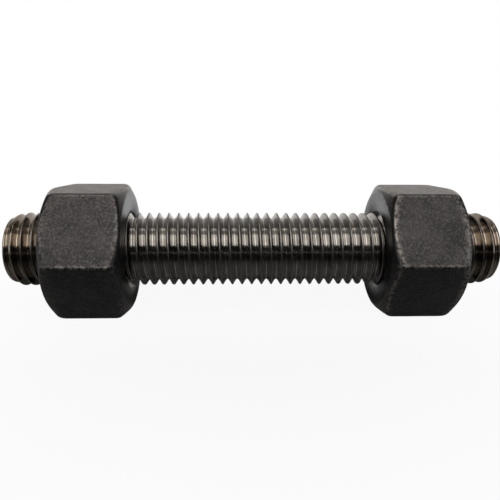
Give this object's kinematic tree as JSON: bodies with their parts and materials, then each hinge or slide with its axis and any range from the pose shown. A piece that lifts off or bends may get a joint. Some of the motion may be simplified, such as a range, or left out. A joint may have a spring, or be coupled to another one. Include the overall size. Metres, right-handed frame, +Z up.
{
  "type": "full-thread stud with heavy hex nuts",
  "caption": "Black oxide steel stud threaded from end to end, with heavy hex nuts, for clamping a flanged joint.",
  "frame": {"origin": "centre of the stud, on its axis", "axes": "+X along the stud, +Z up with one flat of each nut facing down, +Y to the back"},
  "size_m": [0.1242, 0.0364, 0.0318],
  "materials": {
    "stud_steel": "oiled black oxide on rolled thread",
    "nut_steel": "matte black oxide on forged steel"
  },
  "bodies": {
    "stud": {"stud": "stud_steel"},
    "left_nut": {"left_nut": "nut_steel"},
    "right_nut": {"right_nut": "nut_steel"}
  },
  "joints": [
    {"name": "left_nut_run", "type": "slide", "parent": "stud", "child": "left_nut", "axis": [1, 0, 0], "range_m": [-0.03048, 0.03048]},
    {"name": "right_nut_run", "type": "slide", "parent": "stud", "child": "right_nut", "axis": [-1, 0, 0], "range_m": [-0.03048, 0.03048]}
  ]
}
